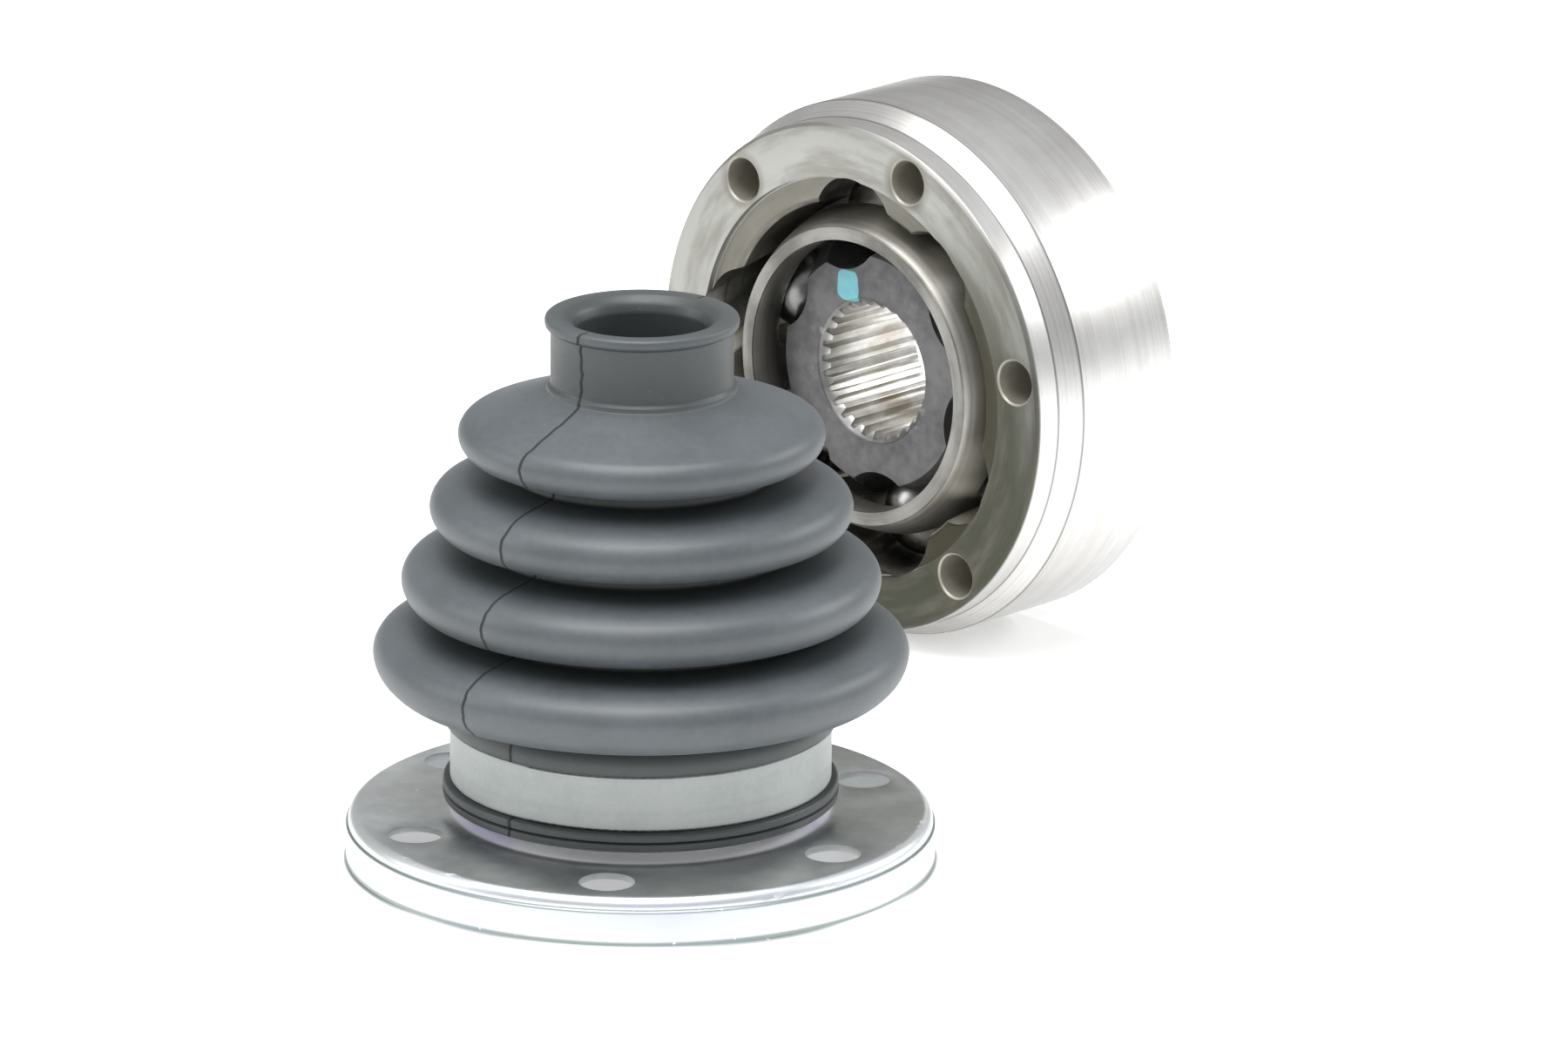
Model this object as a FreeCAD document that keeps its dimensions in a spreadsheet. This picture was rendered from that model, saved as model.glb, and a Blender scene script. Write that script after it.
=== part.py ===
import FreeCAD, Part
import math
import os
import re

import Sketcher

# Inner constant-velocity joint of the cross-groove kind, lying on its side, with its boot kit
# standing beside it. Row frame: +Z up, floor at z = 0, origin in the middle of the layout.
# Joint pieces are drawn about the joint centre with local +z out of the front face, which
# points along row -Y. Boot kit pieces are drawn from the floor up, about the boot's own axis.

SIZES = [
    # Balls and grooves
    ("ball_radius", 9.525, "3/4 inch ball"),
    ("pitch_radius", 31.3, "ball centres to joint axis"),
    ("groove_gap", 0.62, "groove radius less ball radius"),
    ("skew_angle", 16.2, "groove lean from the joint axis, degrees"),
    ("ball_angle", 40.3, "first ball about the joint axis, degrees"),
    # Outer race
    ("bolt_circle_wall", 10.8, "bolt circle beyond the outer race bore"),
    ("drum_rim", 8.8, "drum beyond the bolt circle"),
    ("race_half_length", 19.0, "half the length of the outer race"),
    ("register_drop", 2.9, "turned front register inside the drum"),
    ("register_length", 6.0, "register along the axis"),
    ("shoulder_length", 4.5, "cone from register to drum"),
    ("edge_chamfer", 0.8, "outer edges of the outer race"),
    ("recess_wall", 5.4, "face recess beyond the bore"),
    ("recess_depth", 1.6, "face recess"),
    ("bore_chamfer", 1.0, "mouth of the outer race bore"),
    ("bolt_hole_radius", 4.5, "clearance hole for an M8 bolt"),
    ("bolt_countersink", 0.4, "wider by this at the front face"),
    # Ball cage
    ("cage_outer_wall", 4.6, "outer sphere beyond the ball centres"),
    ("cage_gap", 0.3, "cage to outer race bore"),
    ("cage_half_width", 18.0, "half the cage's length"),
    ("cage_inner_wall", 0.8, "inner sphere inside the ball centres"),
    ("cage_ring", 2.66, "width of the cage's end faces"),
    ("window_half_length", 11.7, "window round the cage, half"),
    ("window_gap", 0.12, "window half height less ball radius"),
    ("window_corner", 3.0, "window corner radius"),
    # Inner race
    ("hub_gap", 1.1, "lobes of the inner race to the cage"),
    ("hub_land", 5.0, "half the straight land of the lobes"),
    ("hub_slope", 5.2, "lobes lower by this at the end faces"),
    ("hub_half_width", 12.25, "half the width of the inner race's lobes"),
    ("hub_boss", 4.5, "boss behind the lobes"),
    ("hub_boss_wall", 3.6, "boss beyond the mouth of the splines"),
    ("spline_tip_radius", 13.4, "over the spline's tooth tips"),
    ("spline_root_radius", 14.6, "at the spline's roots"),
    ("spline_count", 28, "spline teeth"),
    ("spline_tip_half", 0.98, "half the tooth space at the tips"),
    ("spline_root_half", 0.52, "half the tooth space at the roots"),
    ("spline_chamfer", 0.7, "lead-in beyond the spline roots"),
    # Flange cap of the boot
    ("sheet_gauge", 1.3, "sheet steel"),
    ("skirt_gap", 0.25, "skirt over the drum"),
    ("skirt_depth", 11.0, "cap plate above the floor"),
    ("cap_corner", 2.2, "outer bend of the plate's rim"),
    ("skirt_step", 0.4, "skirt wider than the plate's bend by this"),
    ("step_drop", 2.7, "foot of that step below the plate"),
    ("rim_flare", 0.5, "rolled lower rim beyond the skirt"),
    ("rim_height", 1.1, "rolled lower rim"),
    ("neck_radius", 34.5, "outside of the cap's neck"),
    ("neck_height", 18.5, "neck above the plate"),
    ("neck_bend", 4.6, "bend at the neck's foot"),
    ("cap_hole_radius", 5.4, "cap bolt holes"),
    ("cap_hole_angle", 6.7, "first cap hole from row +X, degrees"),
    # Boot, heights above the cap's plate
    ("foot_height", 3.0, "underside of the boot"),
    ("seat_height", 6.8, "underside of the clamp band"),
    ("foot_bead", 2.4, "bead under the clamp band stands out by this"),
    ("foot_round", 0.8, "rounding of the boot's beads"),
    ("foot_groove", 0.6, "groove round the middle of the foot bead"),
    ("seat_wall", 1.6, "rubber between the cap's neck and the clamp band"),
    ("band_width", 11.2, "clamp band"),
    ("band_gauge", 1.0, "clamp band"),
    ("shoulder_bead", 2.1, "boot above the clamp band stands out by this"),
    ("shoulder_height", 3.2, "shoulder above the band"),
    ("boot_wall", 2.4, "rubber thickness"),
    ("fold_rise", 9.0, "lowest fold above the valley under it"),
    ("fold_pitch", 14.6, "from fold to fold"),
    ("fold_reach", 13.8, "lowest fold, the widest, beyond the shoulder"),
    ("fold_step", 5.5, "each fold is smaller by this"),
    ("fold_depth", 13.5, "from a fold's nose to the valley above it"),
    ("fold_half", 2.9, "half the flat of a fold's nose before rounding"),
    ("fold_round", 3.6, "rounding of a fold's nose"),
    ("valley_half", 0.9, "half the flat of a valley"),
    ("first_valley_drop", 1.2, "valley under the lowest fold, inside the shoulder"),
    ("first_valley_rise", 2.2, "valley under the lowest fold, above the shoulder"),
    ("collar_rise", 8.8, "foot of the small collar above the top fold"),
    ("collar_length", 14.5, "small collar"),
    ("collar_bore", 12.8, "shaft hole in the collar"),
    ("collar_wall", 4.9, "rubber round that hole"),
    ("collar_ring", 0.6, "ring round the foot of the collar"),
    ("ring_height", 0.8, "ring round the foot of the collar"),
    ("mouth_bevel", 1.2, "bevel inside the collar's mouth"),
    ("collar_spread", 1.5, "bellows beyond the collar where they meet"),
    ("lip_reach", 1.1, "lip round the collar's mouth"),
    ("lip_height", 2.1, "lip round the collar's mouth"),
    ("lip_round", 0.7, "rounding of the lip"),
    # Layout
    ("boot_right", 72.0, "boot axis beyond the joint axis along +X"),
    ("boot_front", 133.0, "boot axis in front of the joint's face along -Y"),
]
ALIASES = {alias for alias, _, _ in SIZES}
FOLDS = 4
GROOVE_PAIRS = 3
BALLS = 2 * GROOVE_PAIRS

doc = FreeCAD.newDocument("cv_joint")
sheet = doc.addObject("Spreadsheet::Sheet", "Sizes")
for row, (alias, number, note) in enumerate(SIZES, start=1):
    sheet.set(f"A{row}", alias)
    sheet.set(f"B{row}", str(number))
    sheet.set(f"C{row}", note)
    sheet.setAlias(f"B{row}", alias)
doc.recompute()


def tied(formula):
    """A formula over the sheet's aliases, as FreeCAD expects it."""
    return re.sub(r"[a-z_]+", lambda m: f"Sizes.{m[0]}" if m[0] in ALIASES else m[0], formula)


def amount(formula):
    return float(sheet.evalExpression(tied(formula)))


GROOVE = "(ball_radius + groove_gap)"
CAGE = "(pitch_radius + cage_outer_wall)"
CAGE_INSIDE = "(pitch_radius - cage_inner_wall)"
CAGE_MOUTH = f"(sqrt({CAGE} ^ 2 - cage_half_width ^ 2) - cage_ring)"
HUB = f"({CAGE_INSIDE} - hub_gap)"
RACE_BORE = f"({CAGE} + cage_gap)"
RECESS = f"({RACE_BORE} + recess_wall)"
BOLT_CIRCLE = f"({RACE_BORE} + bolt_circle_wall)"
DRUM = f"({BOLT_CIRCLE} + drum_rim)"
REGISTER = f"({DRUM} - register_drop)"
SKIRT = f"({DRUM} + skirt_gap + sheet_gauge)"
CAP_RADIUS = f"({SKIRT} + rim_flare)"
STEP = "(skirt_depth - step_drop)"
SEAT = "(neck_radius + seat_wall)"
FOOT = f"({SEAT} + foot_bead)"
SHOULDER = f"({SEAT} + shoulder_bead)"
BAND_TOP = "(seat_height + band_width)"
BOOT_SPLIT = f"({BAND_TOP} + shoulder_height)"
VALLEY = f"({SHOULDER} - first_valley_drop)"
VALLEY_HEIGHT = f"({BOOT_SPLIT} + first_valley_rise)"
FOLD_HEIGHT = f"({VALLEY_HEIGHT} + fold_rise)"
COLLAR_FOOT = f"({FOLD_HEIGHT} + {FOLDS - 1} * fold_pitch + collar_rise)"
COLLAR = "(collar_bore + collar_wall)"
LIP = f"({COLLAR} + lip_reach)"
FACE_Y = f"(boot_front + {CAP_RADIUS} - 2 * race_half_length) / 2"
JOINT_X = f"({DRUM} - boot_right - {CAP_RADIUS}) / 2"
JOINT_Y = f"({FACE_Y} + race_half_length)"
BOOT_X = f"({JOINT_X} + boot_right)"
BOOT_Y = f"({FACE_Y} - boot_front)"
JOINT_TURN = "rotation(vector(1; 0; 0); 90) * rotation(vector(0; 0; 1); ball_angle)"
JOINT_PLACE = f"placement(vector({JOINT_X}; {JOINT_Y}; {DRUM}); {JOINT_TURN})"
KIT_PLACE = f"placement(vector({BOOT_X}; {BOOT_Y}; 0); rotation(vector(0; 0; 1); cap_hole_angle))"
BOOT_PLACE = KIT_PLACE.replace("; 0)", "; skirt_depth)", 1)

subparts = []


def new_body(name, place):
    body = doc.addObject("PartDesign::Body", name)
    body.Label = name
    body.setExpression("Placement", tied(place))
    subparts.append(body)
    return body


def origin_feature(body, role):
    return next(item for item in body.Origin.OriginFeatures if item.Role == role)


def new_sketch(body, role, name, offset=None):
    sketch = body.newObject("Sketcher::SketchObject", name)
    sketch.AttachmentSupport = [(origin_feature(body, role), "")]
    sketch.MapMode = "FlatFace"
    if offset:
        sketch.setExpression("AttachmentOffset", tied(offset))
    return sketch


def tie(sketch, kind, where, formula):
    index = sketch.addConstraint(Sketcher.Constraint(kind, *where, amount(formula)))
    sketch.setExpression(f"Constraints[{index}]", tied(formula))


def draw_outline(sketch, corners):
    """Closed outline. A third item in a corner is the radius, about the sketch's origin, of the
    arc that leaves the corner; such corners have no first coordinate of their own."""
    count = len(corners)
    arc_from = [corner[2] if len(corner) > 2 else None for corner in corners]
    spots = []
    for index, (across, along, *_) in enumerate(corners):
        height = amount(along)
        radius = arc_from[index] or arc_from[index - 1]
        reach = math.sqrt(amount(radius) ** 2 - height ** 2) if across is None else amount(across)
        spots.append(FreeCAD.Vector(reach, height, 0))
    starts, ends = [], []
    for index, spot in enumerate(spots):
        after = spots[(index + 1) % count]
        if arc_from[index] is None:
            sketch.addGeometry(Part.LineSegment(spot, after), False)
            starts.append(1)
            ends.append(2)
            continue
        angles = [math.atan2(point.y, point.x) for point in (spot, after)]
        circle = Part.Circle(FreeCAD.Vector(), FreeCAD.Vector(0, 0, 1), amount(arc_from[index]))
        sketch.addGeometry(Part.ArcOfCircle(circle, min(angles), max(angles)), False)
        rising = angles[1] > angles[0]
        starts.append(1 if rising else 2)
        ends.append(2 if rising else 1)
    for index, (across, along, *_) in enumerate(corners):
        after = (index + 1) % count
        joint = Sketcher.Constraint("Coincident", index, ends[index], after, starts[after])
        sketch.addConstraint(joint)
        if across is not None:
            tie(sketch, "DistanceX", (-1, 1, index, starts[index]), across)
        tie(sketch, "DistanceY", (-1, 1, index, starts[index]), along)
        if arc_from[index] is not None:
            sketch.addConstraint(Sketcher.Constraint("Coincident", index, 3, -1, 1))
            tie(sketch, "Radius", (index,), arc_from[index])


def draw_circles(sketch, centres, radius):
    for index, (across, along) in enumerate(centres):
        centre = FreeCAD.Vector(amount(across), amount(along), 0)
        circle = Part.Circle(centre, FreeCAD.Vector(0, 0, 1), amount(radius))
        sketch.addGeometry(circle, False)
        tie(sketch, "DistanceX", (-1, 1, index, 3), across)
        tie(sketch, "DistanceY", (-1, 1, index, 3), along)
        tie(sketch, "Radius", (index,), radius)


def turned(body, corners):
    """The outline (radius, height) turned round the body's own z axis."""
    sketch = new_sketch(body, "XZ_Plane", f"{body.Name}_outline")
    draw_outline(sketch, corners)
    spin = body.newObject("PartDesign::Revolution", f"{body.Name}_turned")
    spin.Profile = sketch
    spin.ReferenceAxis = (sketch, ["V_Axis"])
    spin.Angle = 360
    doc.recompute()
    return spin


def cut_through(body, sketch, name):
    """Cuts the sketch right through, and checks that it took material away."""
    before = body.Shape.Volume
    pocket = body.newObject("PartDesign::Pocket", name)
    pocket.Profile = sketch
    pocket.Type = "ThroughAll"
    pocket.SideType = "Symmetric"
    doc.recompute()
    if not pocket.Shape.Volume < before:
        raise RuntimeError(f"{name} cuts nothing")
    return pocket


def repeat_round(body, feature, count, name):
    pattern = body.newObject("PartDesign::PolarPattern", name)
    pattern.Originals = [feature]
    pattern.Axis = (origin_feature(body, "Z_Axis"), [""])
    pattern.Angle = 360
    if count in ALIASES:
        pattern.setExpression("Occurrences", tied(count))
    else:
        pattern.Occurrences = int(count)
    body.Tip = pattern
    doc.recompute()
    return pattern


def round_edges(body, name, radius, chosen):
    """Rounds the edges of the body so far for which chosen(edge) is true."""
    base = body.Tip
    picked = [f"Edge{n}" for n, edge in enumerate(base.Shape.Edges, start=1) if chosen(edge)]
    fillet = body.newObject("PartDesign::Fillet", name)
    fillet.Base = (base, picked)
    fillet.setExpression("Radius", tied(radius))
    doc.recompute()
    return fillet


def ring_at(*spots):
    """Picks the circular edges about the body's axis at these (radius, height) formulas."""
    places = [(amount(radius), amount(height)) for radius, height in spots]

    def chosen(edge):
        if not isinstance(edge.Curve, Part.Circle) or math.hypot(*edge.Curve.Center[:2]) > 1e-6:
            return False
        return any(
            abs(edge.Curve.Radius - radius) < 1e-4 and abs(edge.Curve.Center.z - height) < 1e-4
            for radius, height in places
        )

    return chosen


def opposed_grooves(body, lean):
    """Two opposed ball grooves share one slanted cut, because their skews are opposite hands;
    the cut is repeated round the axis."""
    slant = f"placement(vector(0; 0; 0); rotation(vector(1; 0; 0); {lean}))"
    sketch = new_sketch(body, "XY_Plane", f"{body.Name}_groove_section", slant)
    draw_circles(sketch, [("pitch_radius", "0"), ("-pitch_radius", "0")], GROOVE)
    grooves = cut_through(body, sketch, f"{body.Name}_grooves")
    repeat_round(body, grooves, GROOVE_PAIRS, f"{body.Name}_all_grooves")


def make_outer_race():
    body = new_body("outer_race", JOINT_PLACE)
    floor = "(race_half_length - recess_depth)"
    turned(body, [
        (RACE_BORE, f"bore_chamfer - {floor}"),
        (f"{RACE_BORE} + bore_chamfer", f"-{floor}"),
        (RECESS, f"-{floor}"),
        (RECESS, "-race_half_length"),
        (f"{DRUM} - edge_chamfer", "-race_half_length"),
        (DRUM, "edge_chamfer - race_half_length"),
        (DRUM, "race_half_length - register_length - shoulder_length"),
        (REGISTER, "race_half_length - register_length"),
        (REGISTER, "race_half_length - edge_chamfer"),
        (f"{REGISTER} - edge_chamfer", "race_half_length"),
        (RECESS, "race_half_length"),
        (RECESS, floor),
        (f"{RACE_BORE} + bore_chamfer", floor),
        (RACE_BORE, f"{floor} - bore_chamfer"),
    ])
    opposed_grooves(body, "-skew_angle")
    front = "placement(vector(0; 0; race_half_length); rotation(vector(0; 0; 1); 180 / %d))" % BALLS
    sketch = new_sketch(body, "XY_Plane", "outer_race_bolt_section", front)
    draw_circles(sketch, [(BOLT_CIRCLE, "0")], "bolt_hole_radius")
    doc.recompute()
    before = body.Shape.Volume
    hole = body.newObject("PartDesign::Hole", "outer_race_bolt_hole")
    hole.Profile = sketch
    hole.DepthType = "ThroughAll"
    hole.setExpression("Diameter", tied("2 * bolt_hole_radius"))
    hole.HoleCutType = "Countersink"
    hole.setExpression("HoleCutDiameter", tied("2 * (bolt_hole_radius + bolt_countersink)"))
    hole.HoleCutCountersinkAngle = 90
    doc.recompute()
    if not hole.Shape.Volume < before:
        raise RuntimeError("the bolt hole cuts nothing")
    repeat_round(body, hole, BALLS, "outer_race_bolt_holes")


def make_ball_cage():
    body = new_body("ball_cage", JOINT_PLACE)
    inner_end = f"sqrt({CAGE_INSIDE} ^ 2 - {CAGE_MOUTH} ^ 2)"
    turned(body, [
        (None, "-cage_half_width", CAGE),
        (None, "cage_half_width"),
        (CAGE_MOUTH, "cage_half_width"),
        (None, inner_end, CAGE_INSIDE),
        (None, f"-{inner_end}"),
        (CAGE_MOUTH, "-cage_half_width"),
    ])
    half_height = "(ball_radius + window_gap)"
    sketch = new_sketch(body, "YZ_Plane", "ball_cage_window_section")
    draw_outline(sketch, [
        ("-window_half_length", f"-{half_height}"),
        ("window_half_length", f"-{half_height}"),
        ("window_half_length", half_height),
        ("-window_half_length", half_height),
    ])
    windows = cut_through(body, sketch, "ball_cage_windows")
    repeat_round(body, windows, GROOVE_PAIRS, "ball_cage_all_windows")

    def window_corner(edge):
        straight = isinstance(edge.Curve, Part.Line)
        return straight and abs(edge.Curve.Direction.z) < 1e-6

    round_edges(body, "ball_cage_window_corners", "window_corner", window_corner)


def make_inner_race():
    body = new_body("inner_race", JOINT_PLACE)
    mouth = "(spline_root_radius + spline_chamfer)"
    lead = f"(hub_half_width - {mouth} + spline_tip_radius)"
    face = f"{HUB} - hub_slope"
    boss = f"{mouth} + hub_boss_wall"
    turned(body, [
        ("spline_tip_radius", f"-({lead} + hub_boss)"),
        (mouth, "-(hub_half_width + hub_boss)"),
        (boss, "-(hub_half_width + hub_boss)"),
        (boss, "-hub_half_width"),
        (face, "-hub_half_width"),
        (HUB, "-hub_land"),
        (HUB, "hub_land"),
        (face, "hub_half_width"),
        (mouth, "hub_half_width"),
        ("spline_tip_radius", lead),
    ])
    opposed_grooves(body, "skew_angle")
    sketch = new_sketch(body, "XY_Plane", "inner_race_spline_section")
    draw_outline(sketch, [
        ("spline_tip_radius - spline_tip_half", "-spline_tip_half"),
        ("spline_tip_radius", "-spline_tip_half"),
        ("spline_root_radius", "-spline_root_half"),
        ("spline_root_radius", "spline_root_half"),
        ("spline_tip_radius", "spline_tip_half"),
        ("spline_tip_radius - spline_tip_half", "spline_tip_half"),
    ])
    space = cut_through(body, sketch, "inner_race_spline_space")
    repeat_round(body, space, "spline_count", "inner_race_splines")


def make_ball(number):
    name = f"ball_{number}"
    ball = doc.addObject("Part::Sphere", name)
    ball.Label = name
    ball.setExpression("Radius", tied("ball_radius"))
    spin = f"rotation(vector(0; 0; 1); {360 // BALLS * (number - 1)})"
    seat = f"placement(vector(pitch_radius; 0; 0); {spin})"
    turn = f"placement(vector(0; 0; 0); {spin})"
    ball.setExpression("Placement", tied(f"{JOINT_PLACE} * {turn} * {seat}"))
    subparts.append(ball)


def make_flange_cap():
    body = new_body("flange_cap", KIT_PLACE)
    inside = f"({SKIRT} - sheet_gauge)"
    bend = f"({SKIRT} - skirt_step)"
    under = "(skirt_depth - sheet_gauge)"
    turned(body, [
        (CAP_RADIUS, "0"),
        (CAP_RADIUS, "rim_height"),
        (SKIRT, "rim_height + rim_flare"),
        (SKIRT, STEP),
        (bend, f"{STEP} + skirt_step / 2"),
        (bend, "skirt_depth"),
        ("neck_radius", "skirt_depth"),
        ("neck_radius", "skirt_depth + neck_height"),
        ("neck_radius - sheet_gauge", "skirt_depth + neck_height"),
        ("neck_radius - sheet_gauge", under),
        (inside, under),
        (inside, "0"),
    ])
    round_edges(body, "flange_cap_rim", "cap_corner", ring_at((bend, "skirt_depth")))
    round_edges(body, "flange_cap_rim_inside", "cap_corner - skirt_step", ring_at((inside, under)))
    round_edges(body, "flange_cap_foot", "neck_bend", ring_at(("neck_radius", "skirt_depth")))
    foot_inside = ring_at(("neck_radius - sheet_gauge", under))
    round_edges(body, "flange_cap_foot_inside", "neck_bend + sheet_gauge", foot_inside)
    sketch = new_sketch(body, "XY_Plane", "flange_cap_hole_section")
    draw_circles(sketch, [(BOLT_CIRCLE, "0")], "cap_hole_radius")
    hole = cut_through(body, sketch, "flange_cap_hole")
    repeat_round(body, hole, BALLS, "flange_cap_holes")


def make_clamp_band():
    body = new_body("clamp_band", BOOT_PLACE)
    turned(body, [
        (SEAT, "seat_height"),
        (f"{SEAT} + band_gauge", "seat_height"),
        (f"{SEAT} + band_gauge", BAND_TOP),
        (SEAT, BAND_TOP),
    ])
    edges = ring_at(
        (f"{SEAT} + band_gauge", "seat_height"), (f"{SEAT} + band_gauge", BAND_TOP)
    )
    round_edges(body, "clamp_band_edges", "band_gauge / 2", edges)


def make_boot_base():
    body = new_body("boot_base", BOOT_PLACE)
    middle = "(foot_height + seat_height) / 2"
    turned(body, [
        ("neck_radius", "foot_height"),
        (FOOT, "foot_height"),
        (FOOT, f"{middle} - foot_groove / 2"),
        (f"{FOOT} - foot_groove", middle),
        (FOOT, f"{middle} + foot_groove / 2"),
        (FOOT, "seat_height"),
        (SEAT, "seat_height"),
        (SEAT, BAND_TOP),
        (SHOULDER, BAND_TOP),
        (SHOULDER, BOOT_SPLIT),
        (f"{SHOULDER} - boot_wall", BOOT_SPLIT),
        (f"{SHOULDER} - boot_wall", "neck_height"),
        ("neck_radius", "neck_height"),
    ])
    beads = ring_at(
        (FOOT, "foot_height"), (FOOT, "seat_height"),
        (SHOULDER, BAND_TOP),
    )
    round_edges(body, "boot_base_beads", "foot_round", beads)


def make_boot_bellows():
    """Folds from the widest, lowest one up; the inside follows the outside at the wall's
    thickness, with the flats of the noses shorter and those of the valleys longer."""
    body = new_body("boot_bellows", BOOT_PLACE)
    lean = "boot_wall * 0.7"
    outside = [
        (SHOULDER, BOOT_SPLIT),
        (VALLEY, VALLEY_HEIGHT),
    ]
    inside = [
        (f"{SHOULDER} - boot_wall", BOOT_SPLIT),
        (f"{VALLEY} - boot_wall", f"{VALLEY_HEIGHT} + {lean}"),
    ]
    noses = []
    for fold in range(FOLDS):
        nose = f"({SHOULDER} + fold_reach - {fold} * fold_step)"
        middle = f"({FOLD_HEIGHT} + {fold} * fold_pitch)"
        for side in ("-", "+"):
            outside.append((nose, f"{middle} {side} fold_half"))
            inside.append((f"{nose} - boot_wall", f"{middle} {side} (fold_half - {lean})"))
            noses.append(outside[-1])
        if fold == FOLDS - 1:
            break
        valley = f"({nose} - fold_depth)"
        gap = f"({middle} + fold_pitch / 2)"
        for side in ("-", "+"):
            outside.append((valley, f"{gap} {side} valley_half"))
            inside.append((f"{valley} - boot_wall", f"{gap} {side} (valley_half + {lean})"))
    outside.append((f"{COLLAR} + collar_spread", COLLAR_FOOT))
    inside.append((f"{COLLAR} - boot_wall", f"{COLLAR_FOOT} - boot_wall"))
    inside.append((f"{COLLAR} - boot_wall", COLLAR_FOOT))
    turned(body, outside + inside[::-1])
    round_edges(body, "boot_bellows_noses", "fold_round", ring_at(*noses))


def make_boot_collar():
    body = new_body("boot_collar", BOOT_PLACE)
    top = f"({COLLAR_FOOT} + collar_length)"
    ring = f"{COLLAR} + collar_ring"
    turned(body, [
        ("collar_bore", COLLAR_FOOT),
        (ring, COLLAR_FOOT),
        (ring, f"{COLLAR_FOOT} + ring_height"),
        (COLLAR, f"{COLLAR_FOOT} + ring_height + collar_ring"),
        (COLLAR, f"{top} - lip_height"),
        (LIP, f"{top} - lip_height"),
        (LIP, top),
        ("collar_bore + mouth_bevel", top),
        ("collar_bore", f"{top} - mouth_bevel"),
    ])
    lip = ring_at((LIP, f"{top} - lip_height"), (LIP, top))
    round_edges(body, "boot_collar_lip", "lip_round", lip)


make_outer_race()
make_ball_cage()
make_inner_race()
for number in range(1, BALLS + 1):
    make_ball(number)
make_flange_cap()
make_clamp_band()
make_boot_base()
make_boot_bellows()
make_boot_collar()
doc.recompute()

for item in doc.Objects:
    if "Invalid" in item.State or "Error" in item.State:
        raise RuntimeError(f"{item.Label} is {item.State}")
for item in subparts:
    if item.Shape.isNull() or not item.Shape.isValid():
        raise RuntimeError(f"{item.Label} has no valid shape")
for item in subparts:
    item.Shape.exportStep(f"parts/{item.Label}.step")
    box = item.Shape.BoundBox
    print(
        f"{item.Label}: {len(item.Shape.Solids)} solid, {item.Shape.Volume:.0f} mm3, "
        f"x {box.XMin:.1f} to {box.XMax:.1f}, y {box.YMin:.1f} to {box.YMax:.1f}, "
        f"z {box.ZMin:.1f} to {box.ZMax:.1f}"
    )
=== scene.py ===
import math

import bmesh
import bpy
from mathutils import Matrix, Vector


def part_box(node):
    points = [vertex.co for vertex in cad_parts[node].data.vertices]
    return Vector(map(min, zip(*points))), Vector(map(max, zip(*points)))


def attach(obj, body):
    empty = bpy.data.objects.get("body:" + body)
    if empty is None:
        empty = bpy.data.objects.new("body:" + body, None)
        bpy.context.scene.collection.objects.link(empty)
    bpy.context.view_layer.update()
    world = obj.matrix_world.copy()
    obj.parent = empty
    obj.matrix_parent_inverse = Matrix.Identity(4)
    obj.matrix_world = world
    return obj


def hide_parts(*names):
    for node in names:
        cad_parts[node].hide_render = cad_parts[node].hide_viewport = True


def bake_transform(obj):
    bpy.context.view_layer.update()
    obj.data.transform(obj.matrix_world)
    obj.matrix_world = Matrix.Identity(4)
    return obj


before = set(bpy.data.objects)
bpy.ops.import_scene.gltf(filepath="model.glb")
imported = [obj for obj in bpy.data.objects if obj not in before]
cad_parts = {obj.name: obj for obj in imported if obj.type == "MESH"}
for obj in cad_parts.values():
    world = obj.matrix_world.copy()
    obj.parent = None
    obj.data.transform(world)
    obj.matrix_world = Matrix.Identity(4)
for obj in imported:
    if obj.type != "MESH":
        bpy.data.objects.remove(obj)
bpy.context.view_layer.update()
print("frame loaded")

mm = 0.001


def middle(node):  # centre of a CAD node's box at rest
    low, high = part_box(node)
    return (Vector(low) + Vector(high)) / 2


jointCentre = middle("outer_race")
bootAxis = Vector((middle("boot_collar").x, middle("boot_collar").y, 0))


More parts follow.
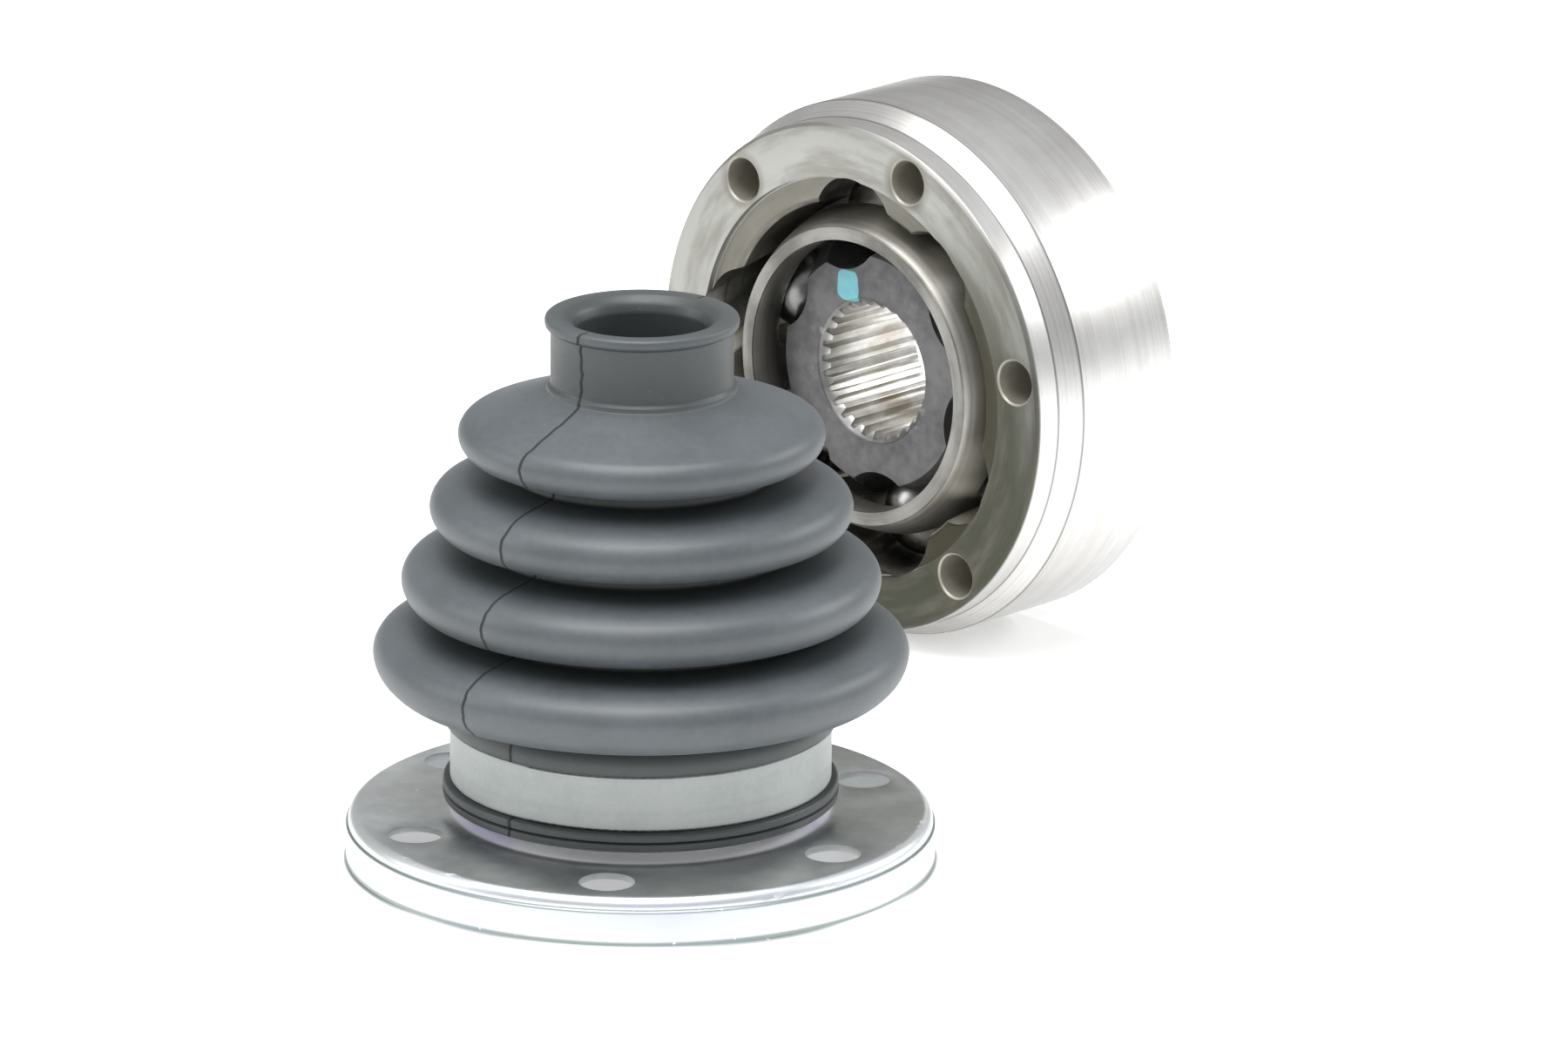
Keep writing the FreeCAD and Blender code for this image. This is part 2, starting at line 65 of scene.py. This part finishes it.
class Wire:  # a shader socket that adds, multiplies and so on as a number does
    def __init__(self, tree, socket=None):
        self.tree = tree
        self.socket = socket

    def node(self, kind, settings=None, values=None, out=0):
        made = self.tree.nodes.new("ShaderNode" + kind)
        for name, setting in (settings or {}).items():
            if name == "stops":
                placeStops(made.color_ramp, setting)
            else:
                setattr(made, name, setting)
        for name, value in (values or {}).items():
            if isinstance(value, Wire):
                self.tree.links.new(value.socket, made.inputs[name])
            else:
                made.inputs[name].default_value = value
        return Wire(self.tree, made.outputs[out]) if made.outputs else None

    def maths(self, operation, *values):
        return self.node("Math", {"operation": operation}, dict(enumerate(values)))

    def __add__(self, other):
        return self.maths("ADD", self, other)

    def __sub__(self, other):
        return self.maths("SUBTRACT", self, other)

    def __rsub__(self, other):
        return self.maths("SUBTRACT", other, self)

    def __mul__(self, other):
        return self.maths("MULTIPLY", self, other)

    def __truediv__(self, other):
        return self.maths("DIVIDE", self, other)

    def __pow__(self, other):
        return self.maths("POWER", self, other)

    def __abs__(self):
        return self.maths("ABSOLUTE", self)

    __radd__ = __add__
    __rmul__ = __mul__

    # start below low, stop above high, smooth between
    def ease(self, low, high, start=0.0, stop=1.0):
        return self.node(
            "MapRange",
            {"interpolation_type": "SMOOTHSTEP"},
            {"Value": self, "From Min": low, "From Max": high, "To Min": start, "To Max": stop},
        )

    def span(self, ends, start=0.0, stop=1.0):  # the same between two distances in mm
        low, high = ends
        return self.ease(low * mm, high * mm, start, stop)

    def near(self, centre, half, soft):  # 1 within half of centre, fading out over soft, in mm
        return abs(self - centre * mm).span((half, half + soft), 1.0, 0.0)

    def tint(self, colourA, colourB):  # this socket mixes two colours
        values = {0: self, 6: asColour(colourA), 7: asColour(colourB)}
        return self.node("Mix", {"data_type": "RGBA"}, values, out=2)

    def noise(self, scale, detail=2.0, roughness=0.5):
        values = {"Vector": self, "Scale": scale, "Detail": detail, "Roughness": roughness}
        return self.node("TexNoise", None, values)


def asColour(value):
    return value if isinstance(value, Wire) else (*value, 1.0)


def placeStops(ramp, stops):
    while len(ramp.elements) < len(stops):
        ramp.elements.new(0.5)
    for element, (place, colour) in zip(ramp.elements, stops):
        element.position = place
        element.color = (*colour, 1.0)


def newPaint(name):
    material = bpy.data.materials.new(name)
    material.use_nodes = True
    material.node_tree.nodes.clear()
    return material, Wire(material.node_tree)


def closePaint(wire, sockets, height=None, bump=None):  # bump: strength, depth in mm
    if height is not None:
        strength, depth = bump
        values = {"Strength": strength, "Distance": depth * mm, "Height": height}
        sockets["Normal"] = wire.node("Bump", None, values)
    shader = wire.node("BsdfPrincipled", None, sockets)
    wire.node("OutputMaterial", None, {"Surface": shader})


def centred(wire, centre):  # object coordinates, measured from centre, and their three parts
    place = wire.node("TexCoord", out=3)
    place = wire.node("VectorMath", {"operation": "SUBTRACT"}, {0: place, 1: centre})
    parts = [wire.node("SeparateXYZ", None, {0: place}, out=axis) for axis in range(3)]
    return (place, *parts)


def rings(wire, across, along, scale, detail=2.0):  # fine lines that run round an axis
    line = wire.node("CombineXYZ", None, {"X": across, "Y": along})
    return line.noise(scale, detail, 0.6)


def arcs(wire, radius, x, z, scale):  # stains drawn out round the joint's axis
    stretch = 0.2
    drawn = wire.node("CombineXYZ", None, {"X": radius, "Y": x * stretch, "Z": z * stretch})
    return drawn.noise(scale, 4.0, 0.6)


def addPiece(name, shape, paint, smoothAngle):  # edges over smoothAngle stay sharp
    mesh = bpy.data.meshes.new(name)
    shape.to_mesh(mesh)
    shape.free()
    mesh.polygons.foreach_set("use_smooth", [True] * len(mesh.polygons))
    mesh.set_sharp_from_angle(angle=math.radians(smoothAngle))
    mesh.materials.append(paint)
    piece = bpy.data.objects.new(name, mesh)
    bpy.context.scene.collection.objects.link(piece)
    return piece


edgeFinish = {"flatAngle": 0.4, "sharpAngle": 25, "segments": 2, "smoothAngle": 20}


def brokenEdges(node, look, paint):  # a copy of a CAD node whose sharp edges are beveled
    shape = bmesh.new()
    shape.from_mesh(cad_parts[node].data)
    bmesh.ops.remove_doubles(shape, verts=shape.verts, dist=1e-6)
    bmesh.ops.dissolve_limit(
        shape, angle_limit=math.radians(edgeFinish["flatAngle"]),
        verts=shape.verts, edges=shape.edges,
    )
    sharpAngle = math.radians(edgeFinish["sharpAngle"])
    sharp = [
        edge for edge in shape.edges
        if edge.is_manifold and edge.calc_face_angle(0) > sharpAngle
    ]
    bmesh.ops.bevel(
        shape, geom=sharp, offset=look["bevel"] * mm, offset_type="OFFSET",
        segments=edgeFinish["segments"], profile=0.5, affect="EDGES",
        clamp_overlap=True, material=-1,
    )
    bmesh.ops.triangulate(shape, faces=shape.faces)
    smoothAngle = edgeFinish["smoothAngle"]
    piece = addPiece(node + "_shape", shape, paint, smoothAngle)
    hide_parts(node)
    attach(piece, look["body"])


# lengths in mm; a pair is where one finish starts to pass into the next and where it has
outerRace = {
    "body": "outer_race", "slot": "machined_steel", "bevel": 0.32,
    "holes": 6, "holeCircle": 47.0, "holeAngle": 10.3, "holeEdge": (4.7, 5.0),
    "faceFrom": (17.9, 18.5), "recessEdge": (41.2, 41.9), "recessFloor": (16.6, 17.1),
    # painted shade lines at the end of the register and the end of the shoulder: (place, half
    # width, softness)
    "stepShadeLines": [(-13.0, 0.07, 0.3), (-8.5, 0.07, 0.3)],
    "shadeLean": (6, -11),  # painted shade, added for each metre to the right, for each metre up
    "innerDarkRing": (43.0, 50.5), "grimeRing": (4.9, 7.0),
    "rough": 0.25, "bump": (0.26, 0.04),
    "drumColours": ((0.55, 0.54, 0.515), (0.78, 0.78, 0.775)),
    "faceColours": ((0.40, 0.402, 0.378), (0.070, 0.072, 0.054)),
    "faceStain": (0.175, 0.165, 0.14),
    "recessColours": ((0.22, 0.215, 0.185), (0.055, 0.052, 0.036)),
    "boreColours": ((0.16, 0.152, 0.135), (0.40, 0.385, 0.34)),
    "holeColours": ((0.30, 0.28, 0.235), (0.60, 0.58, 0.52)),
    "grime": (0.11, 0.10, 0.075), "stepShade": (0.16, 0.155, 0.145),
}


def turnedSteelPaint():
    look = outerRace
    material, wire = newPaint("turned_steel")
    place, x, y, z = centred(wire, jointCentre)
    radius = (x * x + z * z) ** 0.5
    lines = rings(wire, radius, y, 1700, 3)
    bands = rings(wire, radius, y, 240, 2)
    drawn = arcs(wire, radius, x, z, 150)
    patches = place.noise(26, 3)
    oil = place.noise(75, 5, 0.62)
    smear = place.noise(190, 4, 0.6)
    ends = abs(y).span(look["faceFrom"])
    inside = radius.span(look["recessEdge"], 1.0, 0.0)
    deep = abs(y).span(look["recessFloor"])
    drum = (lines * 0.3 + bands * 0.2 + patches * 0.35 + smear * 0.15).ease(0.32, 0.68)
    drum = drum.tint(*look["drumColours"])
    # dark lines painted at the two steps stand in for their shade
    register, shoulder = (y.near(*line) for line in look["stepShadeLines"])
    drum = ((register + shoulder) * 0.75).tint(drum, look["stepShade"])
    leanX, leanZ = look["shadeLean"]  # painted shade: darker low down and to the right
    # low: painted shade mixed with the real patches and drawn stains; the face and the recess
    # both use it
    low = x * leanX + z * leanZ + 0.06 + patches * 0.35 + drawn * 0.75
    # darker towards the inner edge of the face
    low = low + radius.span(look["innerDarkRing"], 0.28, 0.0)
    face = low.ease(0.25, 1.20).tint(*look["faceColours"])
    face = (drawn.ease(0.44, 0.66) * 0.48).tint(face, look["faceStain"])
    face = (oil.ease(0.55, 0.75) * 0.3).tint(face, look["grime"])
    recess = (low * 0.7 + oil * 0.3).ease(0.2, 0.9).tint(*look["recessColours"])
    bore = (oil * 0.6 + drawn * 0.4).ease(0.35, 0.65).tint(*look["boreColours"])
    colour = ends.tint(drum, face)
    colour = inside.tint(colour, deep.tint(bore, recess))
    turn = wire.maths("ARCTAN2", z, x) - math.radians(look["holeAngle"])
    halfPitch = math.pi / look["holes"]
    turn = wire.maths("WRAP", turn, halfPitch, -halfPitch)
    across = radius * wire.maths("COSINE", turn) - look["holeCircle"] * mm
    away = (across * across + (radius * wire.maths("SINE", turn)) ** 2) ** 0.5
    hole = away.span(look["holeEdge"], 1.0, 0.0)
    colour = hole.tint(colour, smear.tint(*look["holeColours"]))
    grime = away.span(look["grimeRing"], 0.4, 0.0) * ends * (1 - hole)
    colour = grime.tint(colour, look["grime"])
    rough = look["rough"] + ends * 0.12 + inside * 0.10 + lines * 0.10 + oil * 0.08
    sockets = {"Base Color": colour, "Metallic": 1.0 - hole * 0.45, "Roughness": rough}
    height = lines * 0.6 + bands * 0.1 + smear * ends * 0.6
    closePaint(wire, sockets, height, look["bump"])
    return material


brokenEdges("outer_race", outerRace, turnedSteelPaint())
print("outer race made")

ballCage = {
    "body": "ball_cage", "slot": "cage_steel", "bevel": 0.3,
    "endFrom": (17.4, 17.8), "innerEdge": (27.8, 28.4),
    "rough": 0.34, "bump": (0.2, 0.02),
    "sideColours": ((0.30, 0.29, 0.262), (0.58, 0.57, 0.53)),
    "endColours": ((0.13, 0.127, 0.115), (0.32, 0.315, 0.295)),
    # inside: painted shade, the cage's inner surface darker than its outside
    "inside": (0.13, 0.125, 0.11),
}


def strawSteelPaint():
    look = ballCage
    material, wire = newPaint("straw_steel")
    place, x, y, z = centred(wire, jointCentre)
    radius = (x * x + z * z) ** 0.5
    lines = rings(wire, radius, y, 1500, 3)
    stain = place.noise(60, 4)
    drawn = arcs(wire, radius, x, z, 210)
    atEnd = abs(y).span(look["endFrom"])
    side = (lines * 0.25 + stain * 0.4 + drawn * 0.35).ease(0.3, 0.7)
    side = side.tint(*look["sideColours"])
    end = (stain * 0.6 + drawn * 0.4).ease(0.35, 0.65).tint(*look["endColours"])
    colour = atEnd.tint(side, end)
    # painted shade on the cage's inner surface
    inside = radius.span(look["innerEdge"], 1.0, 0.0)
    colour = inside.tint(colour, look["inside"])
    rough = look["rough"] + lines * 0.14 + inside * 0.1
    sockets = {"Base Color": colour, "Metallic": 1.0, "Roughness": rough}
    closePaint(wire, sockets, lines, look["bump"])
    return material


brokenEdges("ball_cage", ballCage, strawSteelPaint())
print("ball cage made")

innerRace = {
    "body": "inner_race", "slot": "hub_steel", "bevel": 0.12,
    "splineEdge": (14.9, 15.2), "leadIn": (-11.4, -10.0), "wornRing": (14.8, 17.5),
    "rough": 0.54, "bump": (0.25, 0.05),
    "hardened": ((0.106, 0.106, 0.110), (0.184, 0.182, 0.185)),
    "scuff": (0.36, 0.36, 0.35),
    "splineColours": ((0.40, 0.385, 0.34), (0.86, 0.86, 0.85)),
    "splineOil": (0.30, 0.25, 0.17),
    "markPlace": (-6.9, 16.8), "markSize": (2.7, 3.05), "markDepth": (-11.5, -11.2),
    "markColours": ((0.12, 0.37, 0.43), (0.21, 0.53, 0.59)),
}


def hardenedSteelPaint():
    look = innerRace
    material, wire = newPaint("dark_steel")
    place, x, y, z = centred(wire, jointCentre)
    radius = (x * x + z * z) ** 0.5
    grain = place.noise(420, 3)
    stain = place.noise(70, 4)
    worn = radius.span(look["wornRing"], 1.0, 0.0)  # rubbed round the spline mouth
    nicks = place.noise(260, 2).ease(0.64, 0.72) * (worn * 0.8 + 0.2)
    cut = radius.span(look["splineEdge"], 1.0, 0.0)
    cut = cut * y.span(look["leadIn"], 0.25, 1.0)  # the lead-in is nearly as dark as the face
    dark = (grain * 0.4 + stain * 0.6).ease(0.3, 0.7).tint(*look["hardened"])
    dark = (nicks * 0.6).tint(dark, look["scuff"])
    bright = place.noise(300, 3).tint(*look["splineColours"])
    bright = (stain.ease(0.52, 0.70) * 0.6).tint(bright, look["splineOil"])
    colour = cut.tint(dark, bright)
    markX, markZ = look["markPlace"]
    sizeX, sizeZ = look["markSize"]
    aside = (x - markX * mm) / (sizeX * mm)
    above = (z - markZ * mm) / (sizeZ * mm)
    spot = (aside ** 4 + above ** 4) ** 0.25  # a square with round corners
    spot = spot + (stain - 0.5) * 0.9 + (grain - 0.5) * 0.2
    mark = spot.ease(0.94, 1.05, 1.0, 0.0) * y.span(look["markDepth"], 1.0, 0.0)
    colour = mark.tint(colour, grain.tint(*look["markColours"]))
    rough = look["rough"] - cut * 0.26
    sockets = {"Base Color": colour, "Metallic": 1.0 - mark * 0.9, "Roughness": rough}
    closePaint(wire, sockets, grain, look["bump"])
    return material


brokenEdges("inner_race", innerRace, hardenedSteelPaint())
print("inner race made")

balls = {
    "count": 6, "rough": 0.17, "bump": (0.05, 0.02),
    "colours": ((0.15, 0.15, 0.145), (0.33, 0.33, 0.32)),
}


def bearingSteelPaint():
    material, wire = newPaint("bearing_steel")
    place = centred(wire, jointCentre)[0]
    smear = place.noise(90, 3)
    sockets = {
        "Base Color": smear.ease(0.3, 0.7).tint(*balls["colours"]),
        "Metallic": 1.0, "Roughness": smear * 0.18 + balls["rough"],
    }
    closePaint(wire, sockets, place.noise(700, 2), balls["bump"])
    return material


ballSteel = bearingSteelPaint()
for number in range(1, balls["count"] + 1):
    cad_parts[f"ball_{number}"].material_slots[0].material = ballSteel
print("balls finished")

flangeCap = {
    "body": "boot_kit", "slot": "zinc_plate", "bevel": 0.15,
    # a painted highlight ring sits at the neck's foot, under the boot
    "neckHighlightRing": (36.7, 37.6), "rimFrom": (54.8, 56.8),
    "rimShadeLines": [(8.4, 0.15, 0.4), (1.8, 0.2, 0.6)],  # painted shade lines under the step and above the rolled rim: height, half width, softness
    "rough": 0.31, "bump": (0.12, 0.05),
    "plateColours": ((0.54, 0.565, 0.56), (0.78, 0.805, 0.80)),
    "neckHighlightColours": ((0.80, 0.78, 0.98), (0.97, 0.97, 1.0)),
    "rimColours": ((0.80, 0.84, 0.84), (0.74, 0.77, 0.92)),
    # line: the colour of the painted shade lines
    "line": (0.20, 0.24, 0.23), "speck": (0.95, 0.93, 0.82),
}


def zincPaint():
    look = flangeCap
    material, wire = newPaint("zinc_plate")
    place, x, y, z = centred(wire, bootAxis)
    radius = (x * x + y * y) ** 0.5
    cloud = place.noise(38, 4)
    fine = place.noise(240, 3)
    speck = place.noise(620, 1).ease(0.730, 0.760)
    # painted highlight: a bright violet-white ring at the neck's foot, less metallic
    neckHighlight = radius.span(look["neckHighlightRing"], 1.0, 0.0)
    rim = radius.span(look["rimFrom"])
    colour = (cloud * 0.7 + fine * 0.3).ease(0.3, 0.7).tint(*look["plateColours"])
    colour = neckHighlight.tint(colour, cloud.ease(0.4, 0.6).tint(*look["neckHighlightColours"]))
    colour = rim.tint(colour, cloud.ease(0.45, 0.7).tint(*look["rimColours"]))
    # dark lines painted under the step and above the rolled rim stand in for their shade
    upper, lower = (z.near(*line) for line in look["rimShadeLines"])
    colour = ((upper + lower) * rim * 0.8).tint(colour, look["line"])
    colour = (speck * 0.7).tint(colour, look["speck"])
    rough = look["rough"] + cloud * 0.15
    sockets = {"Base Color": colour, "Metallic": 1.0 - neckHighlight * 0.8, "Roughness": rough}
    closePaint(wire, sockets, fine + place.noise(900, 2) * 0.5, look["bump"])
    return material


brokenEdges("flange_cap", flangeCap, zincPaint())
print("flange cap made")

clampBand = {
    "middleHeight": 23.4, "edgeFrom": (5.0, 5.6),  # from the middle of its width
    "rough": 0.48, "bump": (0.08, 0.02),
    "colours": ((0.35, 0.375, 0.37), (0.41, 0.435, 0.425)), "edge": (0.52, 0.54, 0.535),
}


def bandSteelPaint():
    look = clampBand
    material, wire = newPaint("band_steel")
    place, *_, z = centred(wire, bootAxis)
    cloud = place.noise(120, 4)
    fine = place.noise(900, 3)
    streak = rings(wire, z, z * 0.1, 1600, 2)
    edge = abs(z - look["middleHeight"] * mm).span(look["edgeFrom"])
    colour = (cloud * 0.5 + streak * 0.25 + fine * 0.25).ease(0.35, 0.65)
    colour = colour.tint(*look["colours"])
    colour = (edge * 0.5).tint(colour, look["edge"])
    rough = look["rough"] + cloud * 0.08
    sockets = {"Base Color": colour, "Metallic": 0.8, "Roughness": rough}
    closePaint(wire, sockets, streak, look["bump"])
    return material


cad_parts["clamp_band"].material_slots[0].material = bandSteelPaint()
print("clamp band finished")

rubberBoot = {
    # (radius, height, rounding), up the outside
    "foot": [
        (38.5, 14.0, 0.7), (38.5, 15.6, 0.0), (37.9, 15.9, 0.0), (38.5, 16.2, 0.0),
        (38.5, 17.8, 0.7),
    ],
    "seat": [(36.1, 17.8, 0.0), (36.1, 29.0, 0.0)],
    "shoulder": [(38.2, 29.0, 0.8), (38.2, 32.2, 1.2)],
    "firstValley": [(36.6, 34.6, 0.9)],
    "folds": 4, "nose": 52.0, "noseStep": 5.5, "noseHeight": 43.4, "pitch": 14.6,
    # from a fold's nose and middle: (inwards, upwards, rounding)
    "under": [(10.4, -5.6, 1.2), (3.6, -6.6, 3.2)],
    "underLift": (0.0, 0.9, 1.5, 2.0),  # undersides stand higher from fold to fold
    "tip": [(0.0, -3.0, 2.6), (0.0, 2.3, 2.5)],
    "over": [(4.9, 5.0, 2.4)],
    "valley": (15.4, 6.6, 0.5),
    "topFlank": [(7.0, 4.6, 3.0), (13.2, 6.9, 2.0)],
    # (radius, height, rounding) again
    "collar": [
        (19.6, 95.4, 0.9), (18.4, 96.0, 0.15), (18.4, 96.8, 0.2), (17.7, 97.5, 0.4),
        (17.7, 108.2, 0.3),
    ],
    "lip": [(18.8, 108.5, 0.6), (18.8, 110.5, 0.7)],
    "mouth": [(15.2, 110.5, 0.5), (13.5, 109.2, 0.6), (12.8, 107.4, 0.4), (12.8, 96.0, 0.0)],
    "innerFoot": [(35.8, 32.2, 0.0), (34.6, 36.0, 0.6)],
    "innerTop": [(15.3, 92.9, 0.0), (15.3, 96.0, 0.0)],
    "bottom": [(35.8, 29.5, 0.0), (34.5, 29.5, 0.0), (34.5, 14.0, 0.0)],
    # inside a fold, from its middle: (upwards, rounding)
    "innerNose": [(-1.2, 0.8), (1.0, 0.8)], "innerValley": [(5.0, 0.4), (9.6, 0.4)],
    "wall": 2.4, "steps": 160,
    "seamAngle": -86.5, "seamLine": (0.0, 0.2, 0.3), "seamWander": 2.8,
    "seamFrom": (15.8, 16.4),
    # painted shade in the valleys: how deep it starts and is full, and the top flank band it
    # spares
    "valleyShadeDepth": (4, 13), "topFlankBand": (93.0, 3.0, 1.2),
    "rough": 0.42, "bump": (0.35, 0.14),
    "colours": ((0.060, 0.072, 0.078), (0.088, 0.102, 0.112)),
    "valleyShade": (0.036, 0.044, 0.044),
    "seam": (0.005, 0.005, 0.006), "dust": (0.20, 0.20, 0.19),
}


def rubberPaint():
    look = rubberBoot
    material, wire = newPaint("boot_rubber")
    place, x, y, z = centred(wire, bootAxis)
    radius = (x * x + y * y) ** 0.5
    cloud = place.noise(45, 4)
    grain = place.noise(650, 3)
    dust = place.noise(1500, 2).ease(0.70, 0.78)
    angle = math.radians(look["seamAngle"])
    wander = wire.node("CombineXYZ", None, {"Z": z}).noise(170, 4, 0.6) - 0.5
    seam = y * math.cos(angle) - x * math.sin(angle) + wander * (look["seamWander"] * mm)
    seam = seam.near(*look["seamLine"]) * radius.span(look["seamFrom"])
    colour = (cloud * 0.7 + grain * 0.3).ease(0.3, 0.7).tint(*look["colours"])
    slope = look["noseStep"] / look["pitch"]
    reach = look["nose"] * mm - (z - look["noseHeight"] * mm) * slope
    valley = (reach - radius).span(look["valleyShadeDepth"])  # painted shade: darker deep in the valleys, with no bloom
    valley = valley * (1 - z.near(*look["topFlankBand"]))
    colour = valley.tint(colour, look["valleyShade"])
    colour = (dust * 0.4).tint(colour, look["dust"])
    colour = seam.tint(colour, look["seam"])
    rough = look["rough"] + grain * 0.12 + seam * 0.3
    sockets = {"Base Color": colour, "Roughness": rough, "Specular IOR Level": 0.8}
    closePaint(wire, sockets, grain * 0.25 + cloud * 0.4 - seam * 1.6, look["bump"])
    return material


def bootOutline(look):  # (radius, height, rounding) up the outside and down the inside, in mm
    outside = look["foot"] + look["seat"] + look["shoulder"] + look["firstValley"]
    inside = list(look["innerFoot"])
    for fold in range(look["folds"]):
        nose = look["nose"] - fold * look["noseStep"]
        height = look["noseHeight"] + fold * look["pitch"]
        last = fold == look["folds"] - 1
        lift = look["underLift"][fold]
        under = look["under"] if fold else look["under"][1:]
        outside += [(nose - inwards, height + up + lift, turn) for inwards, up, turn in under]
        corners = look["tip"] + (look["topFlank"] if last else look["over"] + [look["valley"]])
        outside += [(nose - inwards, height + up, turn) for inwards, up, turn in corners]
        inside += [(nose - look["wall"], height + up, turn) for up, turn in look["innerNose"]]
        if not last:
            deep = nose - look["valley"][0] - look["wall"]
            inside += [(deep, height + up, turn) for up, turn in look["innerValley"]]
    outside += look["collar"] + look["lip"] + look["mouth"]
    inside += look["innerTop"]
    return outside + inside[::-1] + look["bottom"]


def roundSegments(rounding):  # a larger rounding gets more facets
    return 9 if rounding > 2 else 5 if rounding > 0.8 else 3


def lathe(outline, centre, steps):  # a closed outline, rounded and spun about centre
    shape = bmesh.new()
    points = [shape.verts.new((r * mm, 0, z * mm)) for r, z, turn in outline]
    for first, second in zip(points, points[1:] + points[:1]):
        shape.edges.new((first, second))
    for turn in sorted({turn for r, z, turn in outline if turn}):
        corners = [point for point, (r, z, own) in zip(points, outline) if own == turn]
        bmesh.ops.bevel(
            shape, geom=corners, offset=turn * mm, offset_type="OFFSET",
            segments=roundSegments(turn),
            profile=0.5, affect="VERTICES", clamp_overlap=True, material=-1,
        )
    bmesh.ops.spin(
        shape, geom=shape.verts[:] + shape.edges[:], axis=(0, 0, 1), cent=(0, 0, 0),
        dvec=(0, 0, 0), angle=math.tau, steps=steps, use_merge=True, use_duplicate=False,
    )
    bmesh.ops.remove_doubles(shape, verts=shape.verts, dist=1e-7)
    bmesh.ops.recalc_face_normals(shape, faces=shape.faces)
    bmesh.ops.translate(shape, verts=shape.verts, vec=centre)
    return shape


rubber = addPiece(
    "rubber_boot", lathe(bootOutline(rubberBoot), bootAxis, rubberBoot["steps"]),
    rubberPaint(), 40,
)
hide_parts("boot_base", "boot_bellows", "boot_collar")
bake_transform(rubber)
print("boot made")

studio = {
    "floorSize": 14.0, "floorGlow": 0.32, "floorRough": 0.75,
    "floorColours": ((0.90, 0.90, 0.895), (0.92, 0.92, 0.92)),
    "camera": {
        "azimuth": 43.95, "elevation": 16.85, "roll": 0.36, "distance": 2.698,
        "target": (0.0187, 0.0, 0.0532), "lens": 313.9, "clipEnd": 30,
    },
    "sky": [  # height, colour
        (0.0, (0.34, 0.34, 0.335)), (0.30, (0.46, 0.46, 0.46)), (0.75, (0.66, 0.66, 0.67)),
    ],
    "lights": {  # place, aim, size, watts, in m
        "top_light": ((0.1, -0.3, 1.5), (0, 0, 0.05), (1.3, 1.3), 25),
        "back_light": ((0.75, 1.25, 0.80), (0, 0, 0.06), (0.9, 0.42), 8),
        "left_light": ((-1.2, -1.2, 0.8), (0, 0, 0.05), (0.7, 0.8), 6.5),
    },
}


def makeFloor():
    shape = bmesh.new()
    bmesh.ops.create_grid(shape, x_segments=2, y_segments=2, size=studio["floorSize"] / 2)
    mesh = bpy.data.meshes.new("floor")
    shape.to_mesh(mesh)
    shape.free()
    material, wire = newPaint("floor")
    cloud = wire.node("TexCoord", out=3).noise(3, 2)
    closePaint(wire, {
        "Base Color": cloud.tint(*studio["floorColours"]), "Roughness": studio["floorRough"],
        "Emission Color": (1.0, 1.0, 1.0, 1.0), "Emission Strength": studio["floorGlow"],
    })
    mesh.materials.append(material)
    floor = bpy.data.objects.new("floor", mesh)
    bpy.context.scene.collection.objects.link(floor)


def makeSky():
    world = bpy.data.worlds.new("studio")
    world.use_nodes = True
    world.node_tree.nodes.clear()
    wire = Wire(world.node_tree)
    up = wire.node("SeparateXYZ", None, {0: wire.node("TexCoord", out=0)}, out=2)
    colour = wire.node("ValToRGB", {"stops": studio["sky"]}, {"Fac": up})
    back = wire.node("Background", None, {"Color": colour, "Strength": 1.0})
    wire.node("OutputWorld", None, {"Surface": back})
    bpy.context.scene.world = world


def addSoftbox(name, place, aim, size, power):
    light = bpy.data.lights.new(name, "AREA")
    light.shape = "RECTANGLE"
    light.size, light.size_y = size
    light.energy = power
    lamp = bpy.data.objects.new(name, light)
    direction = Vector(aim) - Vector(place)
    lamp.rotation_euler = direction.to_track_quat("-Z", "Y").to_euler()
    lamp.location = place
    bpy.context.scene.collection.objects.link(lamp)


def placeCamera(view):
    angles = (view[key] for key in ("azimuth", "elevation", "roll"))
    azimuth, elevation, roll = map(math.radians, angles)
    toCamera = Vector((
        math.sin(azimuth) * math.cos(elevation),
        -math.cos(azimuth) * math.cos(elevation),
        math.sin(elevation),
    ))
    right = Vector((0, 0, 1)).cross(toCamera).normalized()
    up = toCamera.cross(right)
    across = right * math.cos(roll) + up * math.sin(roll)
    upright = toCamera.cross(across)
    place = Matrix((across, upright, toCamera)).transposed().to_4x4()
    place.translation = Vector(view["target"]) + toCamera * view["distance"]
    data = bpy.data.cameras.new("camera")
    data.lens = view["lens"]
    data.clip_end = view["clipEnd"]
    camera = bpy.data.objects.new("camera", data)
    camera.matrix_world = place
    bpy.context.scene.collection.objects.link(camera)
    bpy.context.scene.camera = camera


makeFloor()
makeSky()
for name, (place, aim, size, power) in studio["lights"].items():
    addSoftbox(name, place, aim, size, power)
placeCamera(studio["camera"])
bpy.context.scene.view_settings.view_transform = "Standard"
print("studio made")
